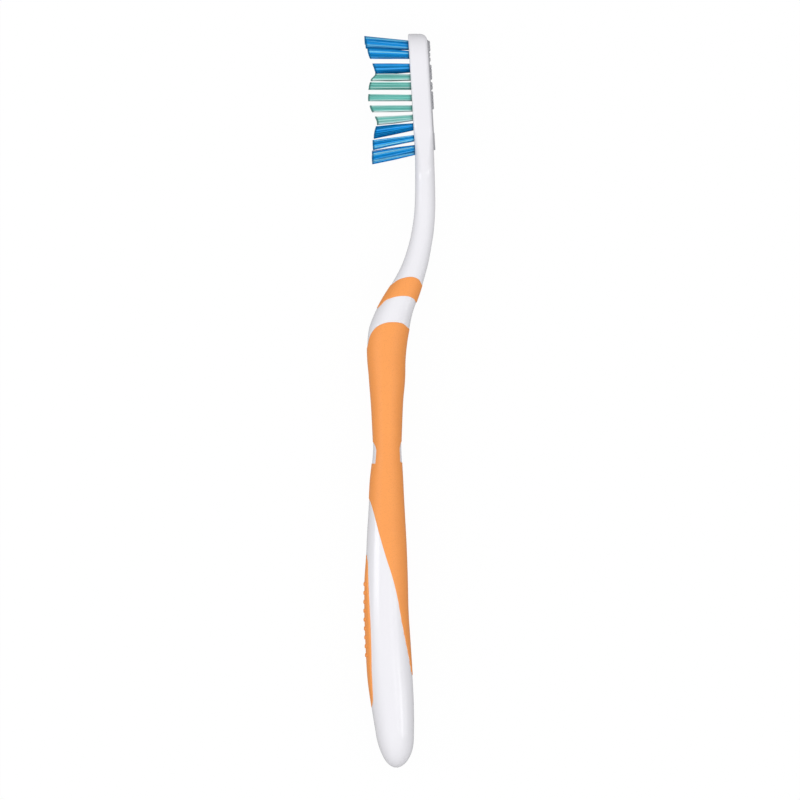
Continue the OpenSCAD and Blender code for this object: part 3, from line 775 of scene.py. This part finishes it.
def paper_floor(name, rgb):
    # Seamless white paper. What the camera or a clear piece sees of it is lifted to white and keeps
    # a faint shadow. A gloss sees it paler than it lights the brush: it throws back little light,
    # so that the sides of the brush fall off to grey as in the photograph.
    material, tree, where = new_material(name)
    fibre = varied(tree, where, 1.5, 0.97, 1.0)
    tint = blended(tree, fibre, shaded(rgb, 0.97), shaded(rgb, 1.0))
    path = add_node(tree, "ShaderNodeLightPath").outputs
    gloss = maths(tree, "MULTIPLY", path["Is Glossy Ray"], 0.25)
    seen = maths(tree, "MAXIMUM", path["Is Camera Ray"], path["Is Transmission Ray"])
    seen = maths(tree, "MAXIMUM", seen, gloss)
    bounced = blended(tree, seen, shaded(rgb, 0.15), tint)
    matt = add_node(tree, "ShaderNodeBsdfDiffuse", Color=bounced)
    light = add_node(tree, "ShaderNodeEmission", Color=shaded(rgb, 1.0), Strength=1.0)
    share = maths(tree, "MULTIPLY", seen, 0.97)
    shader = add_node(tree, "ShaderNodeMixShader", i0=share, i1=matt.outputs[0],
                      i2=light.outputs[0])
    output(tree, shader)
    return material


def material_named(name, make, *values):
    """A material, made once."""
    return bpy.data.materials.get(name) or make(name, *values)


def orange_rubber(colours):
    return material_named("Rubber, matt orange", matt_rubber, colours.soft, 0.28, 0.55)


# Operators

def chosen(context):
    """The sizes and the colours that a user may have changed."""
    return context.scene.toothbrush_sizes, context.scene.toothbrush_colours


class TOOTHBRUSH_OT_handle(bpy.types.Operator):
    """Head plate, neck and handle in one moulding, with its holes and recesses"""
    bl_idname = "toothbrush.handle"
    bl_label = "Handle moulding"

    def execute(self, context):
        colours = context.scene.toothbrush_colours
        turns = [math.pi / 2 * i / END_STEPS for i in range(END_STEPS + 1)]
        places = [TIP_ROUND * (1 - math.cos(t)) for t in turns[:-1]]
        middle = BRUSH_LEN - END_ROUND
        count = round((middle - TIP_ROUND) / RING_PITCH)
        places += [mix(TIP_ROUND, middle, i / count) for i in range(count)]
        places += [middle + END_ROUND * math.sin(t) for t in turns]
        bm = bmesh.new()
        levels = []
        for u in places:
            soft = handle_share(u) > SOFT_FROM
            levels.append([spot_at(u, spot, -recess(u, j) if soft else 0.0)
                           for j, spot in enumerate(RING)])
        skin(bm, levels, len(RING))
        cap(bm)
        piece = finish_mesh(bm, "handle_moulding")
        cut(piece, self.head_cutter())
        white = material_named(
            "Polypropylene, polished white", glossy_polypropylene, colours.plastic)
        settle(piece, "white_plastic", white, "handle_body")
        return {"FINISHED"}

    def head_cutter(self):
        """Tuft holes and the seat of the tongue cleaner, as one closed mesh."""
        bm = bmesh.new()
        levels = [[], []]
        for r, tufts in enumerate(ROW_TUFTS):
            for c in range(tufts):
                place = tuft_frame(r, c)
                for level, z in zip(levels, (-HOLE_DEPTH, CUT_OVER)):
                    level += [place @ Vector((HOLE_D / 2 * x, HOLE_D / 2 * y, z))
                              for x, y in circle(HOLE_SIDES)]
        skin(bm, levels, HOLE_SIDES)
        seat = [cleaner_ring(0.0, x) for x in (HEAD_T - CLEANER_SEAT, HEAD_T + CUT_OVER)]
        skin(bm, seat, len(seat[0]))
        cap(bm)
        return finish_mesh(bm, "head_cutter")


def sleeve(bm, outlines, sizes, rows, inner_rows):
    """Soft sleeve round the handle: closed, between two outlines, with rounded rims."""
    top, bottom = outlines
    proud = sizes.grip_proud / MM

    def level(top_in, bottom_in, share, grow):
        """Ring at a share of the way between two insets from the outlines."""
        points = []
        for j, spot in enumerate(RING):
            start = top.places[j] + top_in * top.slants[j]
            stop = bottom.places[j] - bottom_in * bottom.slants[j]
            points.append(spot_at(mix(start, stop, share), spot, grow))
        return points

    rim = [(0.0, -RIM_SINK)] + rounding(sizes.grip_edge / MM, proud, 4)
    inner = [(INNER_START, -INNER_SINK), (INNER_STOP, FLOOR_GAP - GRIP_WALL)]
    inset, (deep, wall) = rim[-1][0], inner[-1]
    levels = [level(d, 0, 0, h) for d, h in rim]
    levels += [level(inset, inset, i / rows, proud) for i in range(1, rows)]
    levels += [level(0, d, 1, h) for d, h in rim[::-1] + inner]
    levels += [level(deep, deep, 1 - i / inner_rows, wall) for i in range(1, inner_rows)]
    levels += [level(d, 0, 0, h) for d, h in inner[::-1]]
    levels.append(levels[0])
    skin(bm, levels, len(RING))


class TOOTHBRUSH_OT_neck_band(bpy.types.Operator):
    """Soft band round the shoulder"""
    bl_idname = "toothbrush.neck_band"
    bl_label = "Neck band"

    def execute(self, context):
        sizes, colours = chosen(context)
        bm = bmesh.new()
        sleeve(bm, BAND, sizes, rows=12, inner_rows=5)
        settle(finish_mesh(bm, "neck_band_soft"), "orange_rubber", orange_rubber(colours),
               "neck_band")
        return {"FINISHED"}


class TOOTHBRUSH_OT_main_grip(bpy.types.Operator):
    """Soft grip round the handle, with its windows at the waist and its tail along the back"""
    bl_idname = "toothbrush.main_grip"
    bl_label = "Main grip"

    def execute(self, context):
        sizes, colours = chosen(context)
        bm = bmesh.new()
        sleeve(bm, GRIP, sizes, rows=110, inner_rows=36)
        piece = finish_mesh(bm, "main_grip_soft")
        for table, side in ((FRONT_WINDOW, -1), (BACK_WINDOW, 1)):
            cut(piece, self.window_cutter(table, side))
        settle(piece, "orange_rubber", orange_rubber(colours), "main_grip")
        return {"FINISHED"}

    def window_cutter(self, table, side):
        """Prism through one side of the grip."""
        outline = [(share * WAIST_W / 2, handle_place(place)) for share, place in table]
        outline += [(-z, u) for z, u in reversed(outline[1:])]
        front, back = depth_at(handle_place(table[0][1]))
        middle = (front + back) / 2 + SHIFT_X
        bm = bmesh.new()
        levels = [[Vector((x, BRUSH_LEN / 2 - u, LIFT_Z + z)) for z, u in outline]
                  for x in (middle, middle + side * WINDOW_REACH)]
        skin(bm, levels, len(outline))
        cap(bm)
        return finish_mesh(bm, "window_cutter")


def pad_point(u, z):
    """Point on the front of the handle at a place along it and across it, and the way outwards."""
    centre, a, b, rx, rz = section(u)
    out = clamp((abs(z) - (b - rz)) / rz)
    run = math.sqrt(1 - out * out)
    point = Vector((centre - (a - rx) - rx * run + SHIFT_X, BRUSH_LEN / 2 - u, z + LIFT_Z))
    return point, Vector((-run * rz, 0, math.copysign(out * rx, z))).normalized()


class TOOTHBRUSH_OT_front_pad(bpy.types.Operator):
    """Soft pad on the front of the lower handle, with its raised spots"""
    bl_idname = "toothbrush.front_pad"
    bl_label = "Front pad"

    def execute(self, context):
        sizes, colours = chosen(context)
        proud, edge = sizes.pad_proud / MM, sizes.pad_edge / MM
        start, stop = handle_place(PAD_START), handle_place(PAD_STOP)
        bm = bmesh.new()
        # The grid runs from -1 to 1 both ways. It becomes the inside, and its copy the outside.
        sheet = bmesh.ops.create_grid(
            bm, x_segments=PAD_ACROSS, y_segments=PAD_ALONG, size=1)["verts"]
        places = [(v.co.x, v.co.y) for v in sheet]
        made = bmesh.ops.extrude_face_region(bm, geom=bm.faces[:], use_keep_orig=True)
        upper = [g for g in made["geom"] if isinstance(g, bmesh.types.BMVert)]
        upper_at = {(round(v.co.x, 5), round(v.co.y, 5)): v for v in upper}
        for v, (x, y) in zip(sheet, places):
            # Rows crowd towards the two ends, and columns towards the two long rims.
            u = mix(start, stop, (1 - math.cos(math.pi * (y + 1) / 2)) / 2)
            reach = pad_reach(u)
            z = reach * math.copysign(math.sin(math.pi / 2 * abs(x)), x)
            inside = inside_pad(u, z)
            rim = max(abs(x), abs(y)) > 0.999
            drop = clamp(1 - inside / edge)
            here = self.proud_at(u, proud)
            top = -RIM_SINK if rim else here - edge + edge * math.sqrt(1 - drop * drop)
            low = -INNER_SINK - (GRIP_WALL - INNER_SINK - FLOOR_GAP) * smooth(
                (inside - INNER_START) / RECESS_RUN)
            foot, out = pad_point(u, z)
            upper_at[round(x, 5), round(y, 5)].co = foot + out * top
            v.co = foot + out * low
        self.spots(bm, sizes, proud)
        settle(finish_mesh(bm, "front_pad_soft"), "orange_rubber", orange_rubber(colours),
               "front_pad")
        return {"FINISHED"}

    def proud_at(self, u, proud):
        """The pad thins out towards its two ends."""
        end = min(u - handle_place(PAD_START), handle_place(PAD_STOP) - u)
        return mix(PAD_END_PROUND, proud, smooth(end / PAD_END_RUN))

    def spots(self, bm, sizes, proud):
        """Low domes in rows of three."""
        pitch, high, wide = sizes.spot_pitch / MM, sizes.spot_h / MM, sizes.spot_d / MM
        u, stop = handle_place(SPOT_START), handle_place(SPOT_STOP)
        along = Vector((0, 1, 0))
        levels = [[] for _ in SPOT_PROFILE]
        while u < stop:
            for z in (-pitch, 0, pitch):
                foot, out = pad_point(u, z)
                side = out.cross(along)
                for level, (r, h) in zip(levels, SPOT_PROFILE):
                    centre = foot + out * (self.proud_at(u, proud) + (h * high if h > 0 else h))
                    level += [centre + (along * x + side * y) * r * wide / 2
                              for x, y in circle(KNOB_SIDES)]
            u += pitch
        skin(bm, levels, KNOB_SIDES)
        cap(bm)


def cleaner_ring(inset, height):
    """Outline of the tongue cleaner, a stadium, at a height above the head's front face."""
    r = CLEANER_W / 2
    low, high = CLEANER_END + r, HEAD_LEN - CLEANER_TIP - r
    points = []
    for q, centre in enumerate((high, low)):
        for k in range(CLEANER_STEPS + 1):
            turn = math.pi * (q + k / CLEANER_STEPS)
            points.append(HEAD_FRAME @ Vector((
                height, centre + (r - inset) * math.sin(turn), (r - inset) * math.cos(turn))))
    return points


class TOOTHBRUSH_OT_tongue_cleaner(bpy.types.Operator):
    """Soft pad on the back of the head, with nubs in blocks and a raised bar at the heel"""
    bl_idname = "toothbrush.tongue_cleaner"
    bl_label = "Tongue cleaner"

    def execute(self, context):
        sizes, colours = chosen(context)
        bm = bmesh.new()
        top = HEAD_T + CLEANER_BASE
        levels = [cleaner_ring(CLEANER_GAP, HEAD_T - CLEANER_SEAT + CLEANER_GAP)]
        levels += [cleaner_ring(CLEANER_GAP + d, x) for d, x in rounding(CLEANER_EDGE, top, 3)]
        levels += [cleaner_ring(d, top) for d in (1.0, 2.2, 3.4, 4.4, 4.68)]
        skin(bm, levels, len(levels[0]))
        cap(bm)
        self.nubs(bm, sizes)
        self.bar(bm)
        grey = material_named("Rubber, matt grey", matt_rubber, colours.cleaner, 0.2, 0.6)
        settle(finish_mesh(bm, "tongue_cleaner_soft"), "grey_rubber", grey, "tongue_cleaner")
        return {"FINISHED"}

    def nubs(self, bm, sizes):
        """Round-topped nubs, every other row shifted across."""
        r = sizes.nub_d / MM / 2
        foot = HEAD_T + CLEANER_BASE - NUB_SINK
        levels = [[] for _ in NUB_PROFILE]
        for start, stop, rows, high in NUB_BLOCKS:
            for i in range(rows):
                u = mix(start, stop, i / (rows - 1))
                count = NUBS_ACROSS - i % 2
                for j in range(count):
                    z = (j - (count - 1) / 2) * NUB_PITCH
                    tip_out = max(0.0, CLEANER_TIP + CLEANER_W / 2 - u)
                    if math.hypot(z, tip_out) > CLEANER_W / 2 - r - CLEANER_MARGIN:
                        continue
                    for level, (w, h) in zip(levels, NUB_PROFILE):
                        x = foot + h * (high - CLEANER_BASE + NUB_SINK)
                        level += [
                            HEAD_FRAME @ Vector((x, HEAD_LEN - u + w * r * c, z + w * r * s))
                            for c, s in circle(KNOB_SIDES)]
        skin(bm, levels, KNOB_SIDES)
        cap(bm)

    def bar(self, bm):
        """Raised bar at the heel, square at the tip side and rounded at its edges."""
        start, stop, high = CLEANER_BAR
        low, up = HEAD_LEN - stop, HEAD_LEN - start
        r = CLEANER_W / 2 - CLEANER_MARGIN
        centre = CLEANER_END + CLEANER_W / 2
        top, edge = HEAD_T + high, BAR_EDGE
        levels = []
        for inset, x in ((0, HEAD_T + BAR_FOOT), (0, top - edge), (edge * 0.3, top - edge * 0.3),
                         (edge, top), (BAR_FLAT, top)):
            points = []
            for k in range(BAR_STEPS + 1):
                turn = math.pi * (1 + k / BAR_STEPS)
                along = centre + (r - inset) * math.sin(turn)
                along = min(max(along, low + inset), up - inset)
                points.append((along, (r - inset) * math.cos(turn)))
            points.append((up - inset, 0))
            levels.append([HEAD_FRAME @ Vector((x, y, z)) for y, z in points])
        skin(bm, levels, len(levels[0]))
        cap(bm)


class TOOTHBRUSH_OT_bristles(bpy.types.Operator):
    """All tufts, filament by filament, leaning, fanned and trimmed row by row"""
    bl_idname = "toothbrush.bristles"
    bl_label = "Bristles"

    def execute(self, context):
        sizes, colours = chosen(context)
        blue = material_named("Nylon filament, blue", nylon_filament, colours.blue,
                              colours.painted_light_blue, colours.clear)
        teal = material_named("Nylon filament, teal", nylon_filament, colours.teal,
                              colours.painted_light_teal, colours.clear)
        chance = random.Random(7)
        for r, tufts in enumerate(ROW_TUFTS):
            middle = r in MIDDLE_ROWS
            for c in range(tufts):
                piece = self.tuft(r, c, sizes, chance)
                settle(piece, "teal_filament" if middle else "blue_filament",
                       teal if middle else blue, tuft_name(r, c))
        return {"FINISHED"}

    def tuft(self, r, c, sizes, chance):
        """One tuft: each filament is a closed stalk with a rounded tip."""
        thick = sizes.strand_d / MM
        place = tuft_frame(r, c)
        middle = r in MIDDLE_ROWS
        levels = [[] for _ in STRAND_SHARES]
        tones_and_light = []
        reach = TUFT_R - thick / 2
        share = 1 / (FAN_AT * TUFT_R)
        facing = TOUCHING_ROWS.get(r, 0)
        highlight_phase = chance.uniform(0, 2 * math.pi)
        for i in range(sizes.strands):
            radius = reach * math.sqrt((i + 0.5) / sizes.strands)
            turn = i * GOLDEN_TURN + chance.uniform(-TURN_SCATTER, TURN_SCATTER)
            x, y = radius * math.cos(turn), radius * math.sin(turn)
            fan_x = SIDE_FAN * x * share + chance.gauss(0, LEAN_SCATTER)
            fan_y = TUFT_FAN * ROW_FAN[r] * y * share + chance.gauss(0, LEAN_SCATTER)
            lean_x, lean_y = math.tan(math.radians(fan_x)), math.tan(math.radians(fan_y))
            bow_x, bow_y = chance.gauss(0, BOW_SCATTER), chance.gauss(0, BOW_SCATTER)
            height = self.height(r, c, y + BRISTLE_LEN * lean_y)
            height -= abs(chance.gauss(0, TRIM_SCATTER))
            stops = [(z, 1.0) for z in (-STRAND_SINK, 0.0, ROOT_RING, height / 2,
                                        height - TIP_RING)]
            stops += [(height - thick * END_SHARE * t, width) for t, width in END_PROFILE]
            # Painted shade on the two sides of a blue tuft, and painted highlight and shade streaks
            # across every tuft, with a random scatter.
            side = smooth((abs(y) / reach - SHADE_FROM) / SHADE_RUN)
            highlight_swing = HIGHLIGHT_SWING * math.sin(highlight_phase + y * HIGHLIGHT_WAVES) * (TEAL_HIGHLIGHT_SWING if middle else 1)
            tone_and_light = clamp(TONE_MIDDLE + highlight_swing - SIDE_SHADE * side * (not middle)
                         + chance.gauss(0, TONE_SCATTER))
            # A row's painted light raises this value and its painted shade lowers it.
            tone_and_light = max(0.0, tone_and_light + ROW_LIGHT_AND_SHADE[r])
            # The two sides of a teal tuft are painted paler, as light passing through their outer
            # strands.
            if middle:
                tone_and_light += SIDE_BACKLIGHT * smooth((abs(y) / reach - BACKLIGHT_FROM) / BACKLIGHT_RUN)
            tones_and_light.append(tone_and_light)
            swell = SWELL * facing * clamp(facing * y / reach)
            for level, (z, width) in zip(levels, stops):
                t = z / height
                bow = 4 * t * (1 - t)
                centre = Vector((x + lean_x * z + bow_x * bow,
                                 y + lean_y * z + bow_y * bow + swell * smooth(2 * t), z))
                level += [place @ (centre + Vector((a, b, 0)) * thick / 2 * width)
                          for a, b in circle(STRAND_SIDES)]
        bm = bmesh.new()
        skin(bm, levels, STRAND_SIDES)
        tone_and_light_of = bm.verts.layers.float.new("strand_tone_and_light")
        along_of = bm.verts.layers.float.new("strand_along")
        # A new layer gives the vertices new handles, so they are found again by their order.
        marks = [(tone_and_light, along) for along in STRAND_SHARES for tone_and_light in tones_and_light
                 for _ in range(STRAND_SIDES)]
        for v, (tone_and_light, along) in zip(bm.verts, marks):
            v[tone_and_light_of], v[along_of] = tone_and_light, along
        cap(bm)
        return finish_mesh(bm, "bristles_row_%02d_no_%d" % (r + 1, c + 1), STRAND_SHARP)

    def height(self, r, c, y):
        """Height of the trimmed outline over a place along a tuft's frame."""
        lean = row_lean(r)
        tip = tuft_place(r, c) + y - BRISTLE_LEN * math.sin(lean)
        return BRISTLE_LEN * through(TRIM, tip / HEAD_LEN) / math.cos(lean)


class TOOTHBRUSH_OT_anchors(bpy.types.Operator):
    """Finish of the anchor plates in the tuft holes"""
    bl_idname = "toothbrush.anchors"
    bl_label = "Tuft anchors"

    def execute(self, context):
        colours = context.scene.toothbrush_colours
        brass = material_named("Brass strip, rolled", stamped_brass, colours.brass)
        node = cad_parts["tuft_anchors"]
        for slot in node.material_slots:
            slot.material = brass
        if not node.material_slots:
            raise RuntimeError("the anchors have no material slot")
        return {"FINISHED"}


class TOOTHBRUSH_OT_stage(bpy.types.Operator):
    """Floor, lights and camera"""
    bl_idname = "toothbrush.stage"
    bl_label = "Stage"

    def execute(self, context):
        colours = context.scene.toothbrush_colours
        bm = bmesh.new()
        bmesh.ops.create_grid(bm, x_segments=1, y_segments=1, size=FLOOR_SIZE)
        bmesh.ops.translate(bm, vec=Vector((0, 0, -FLOOR_DROP)), verts=bm.verts)
        floor = finish_mesh(bm, "floor")
        paper = material_named("Paper, seamless white", paper_floor, colours.floor)
        floor.data.materials.append(paper)

        # A long white tent, brightest overhead and at its two ends, with a tall panel lamp on one
        # side and a tall strip and a small panel on the other for the gloss.
        world = bpy.data.worlds.new("White tent")
        world.use_nodes = True
        tree = world.node_tree
        tree.nodes.clear()
        way = add_node(tree, "ShaderNodeTexCoord").outputs["Generated"]
        parts = add_node(tree, "ShaderNodeSeparateXYZ", Vector=way).outputs
        sky = ranged(tree, parts["Z"], 0, 1, SKY_LOW, SKY_HIGH)
        ends = maths(tree, "MULTIPLY", parts["Y"], parts["Y"])
        level = maths(tree, "MULTIPLY_ADD", ends, SKY_ENDS, sky)
        back = add_node(tree, "ShaderNodeBackground", Color=(1, 1, 1, 1), Strength=level)
        add_node(tree, "ShaderNodeOutputWorld", Surface=back.outputs[0])
        context.scene.world = world
        for name, spot, along, tall, power in LAMPS:
            lamp = bpy.data.lights.new(name, "AREA")
            lamp.shape = "RECTANGLE"
            lamp.size, lamp.size_y, lamp.energy = along, tall, power
            lamp_object = bpy.data.objects.new(name, lamp)
            lamp_object.location = spot
            aim = Vector((-spot[0], 0, LIFT_Z * MM - spot[2]))
            lamp_object.rotation_euler = aim.to_track_quat("-Z", "Y").to_euler()
            lamp_object.visible_camera = False
            context.collection.objects.link(lamp_object)

        camera = bpy.data.cameras.new("Camera")
        camera.lens, camera.sensor_width = LENS, SENSOR
        camera_object = bpy.data.objects.new("Camera", camera)
        camera_object.location = (
            PHOTO_X * MM, PHOTO_Y * MM, LIFT_Z * MM + PHOTO_WIDTH * MM * LENS / SENSOR)
        context.collection.objects.link(camera_object)
        context.scene.camera = camera_object
        context.scene.view_settings.view_transform = "Standard"
        return {"FINISHED"}


class TOOTHBRUSH_PT_panel(bpy.types.Panel):
    """Lists the pieces of the toothbrush"""
    bl_label = "Toothbrush"
    bl_idname = "TOOTHBRUSH_PT_panel"
    bl_space_type = "VIEW_3D"
    bl_region_type = "UI"
    bl_category = "Toothbrush"

    def draw(self, context):
        for operator in OPERATORS:
            self.layout.operator(operator.bl_idname)
        for group in chosen(context):
            for name in group.__annotations__:
                self.layout.prop(group, name)


OPERATORS = (
    TOOTHBRUSH_OT_handle, TOOTHBRUSH_OT_neck_band, TOOTHBRUSH_OT_main_grip,
    TOOTHBRUSH_OT_front_pad, TOOTHBRUSH_OT_tongue_cleaner, TOOTHBRUSH_OT_bristles,
    TOOTHBRUSH_OT_anchors, TOOTHBRUSH_OT_stage,
)
CLASSES = (ToothbrushSizes, ToothbrushColours) + OPERATORS + (TOOTHBRUSH_PT_panel,)


def register():
    for cls in CLASSES:
        bpy.utils.register_class(cls)
    bpy.types.Scene.toothbrush_sizes = bpy.props.PointerProperty(type=ToothbrushSizes)
    bpy.types.Scene.toothbrush_colours = bpy.props.PointerProperty(type=ToothbrushColours)


def unregister():
    del bpy.types.Scene.toothbrush_colours
    del bpy.types.Scene.toothbrush_sizes
    for cls in reversed(CLASSES):
        bpy.utils.unregister_class(cls)


def main():
    register()
    bpy.ops.toothbrush.handle()
    bpy.ops.toothbrush.neck_band()
    bpy.ops.toothbrush.main_grip()
    bpy.ops.toothbrush.front_pad()
    bpy.ops.toothbrush.tongue_cleaner()
    bpy.ops.toothbrush.bristles()
    bpy.ops.toothbrush.anchors()
    bpy.ops.toothbrush.stage()


if __name__ == "__main__":
    main()
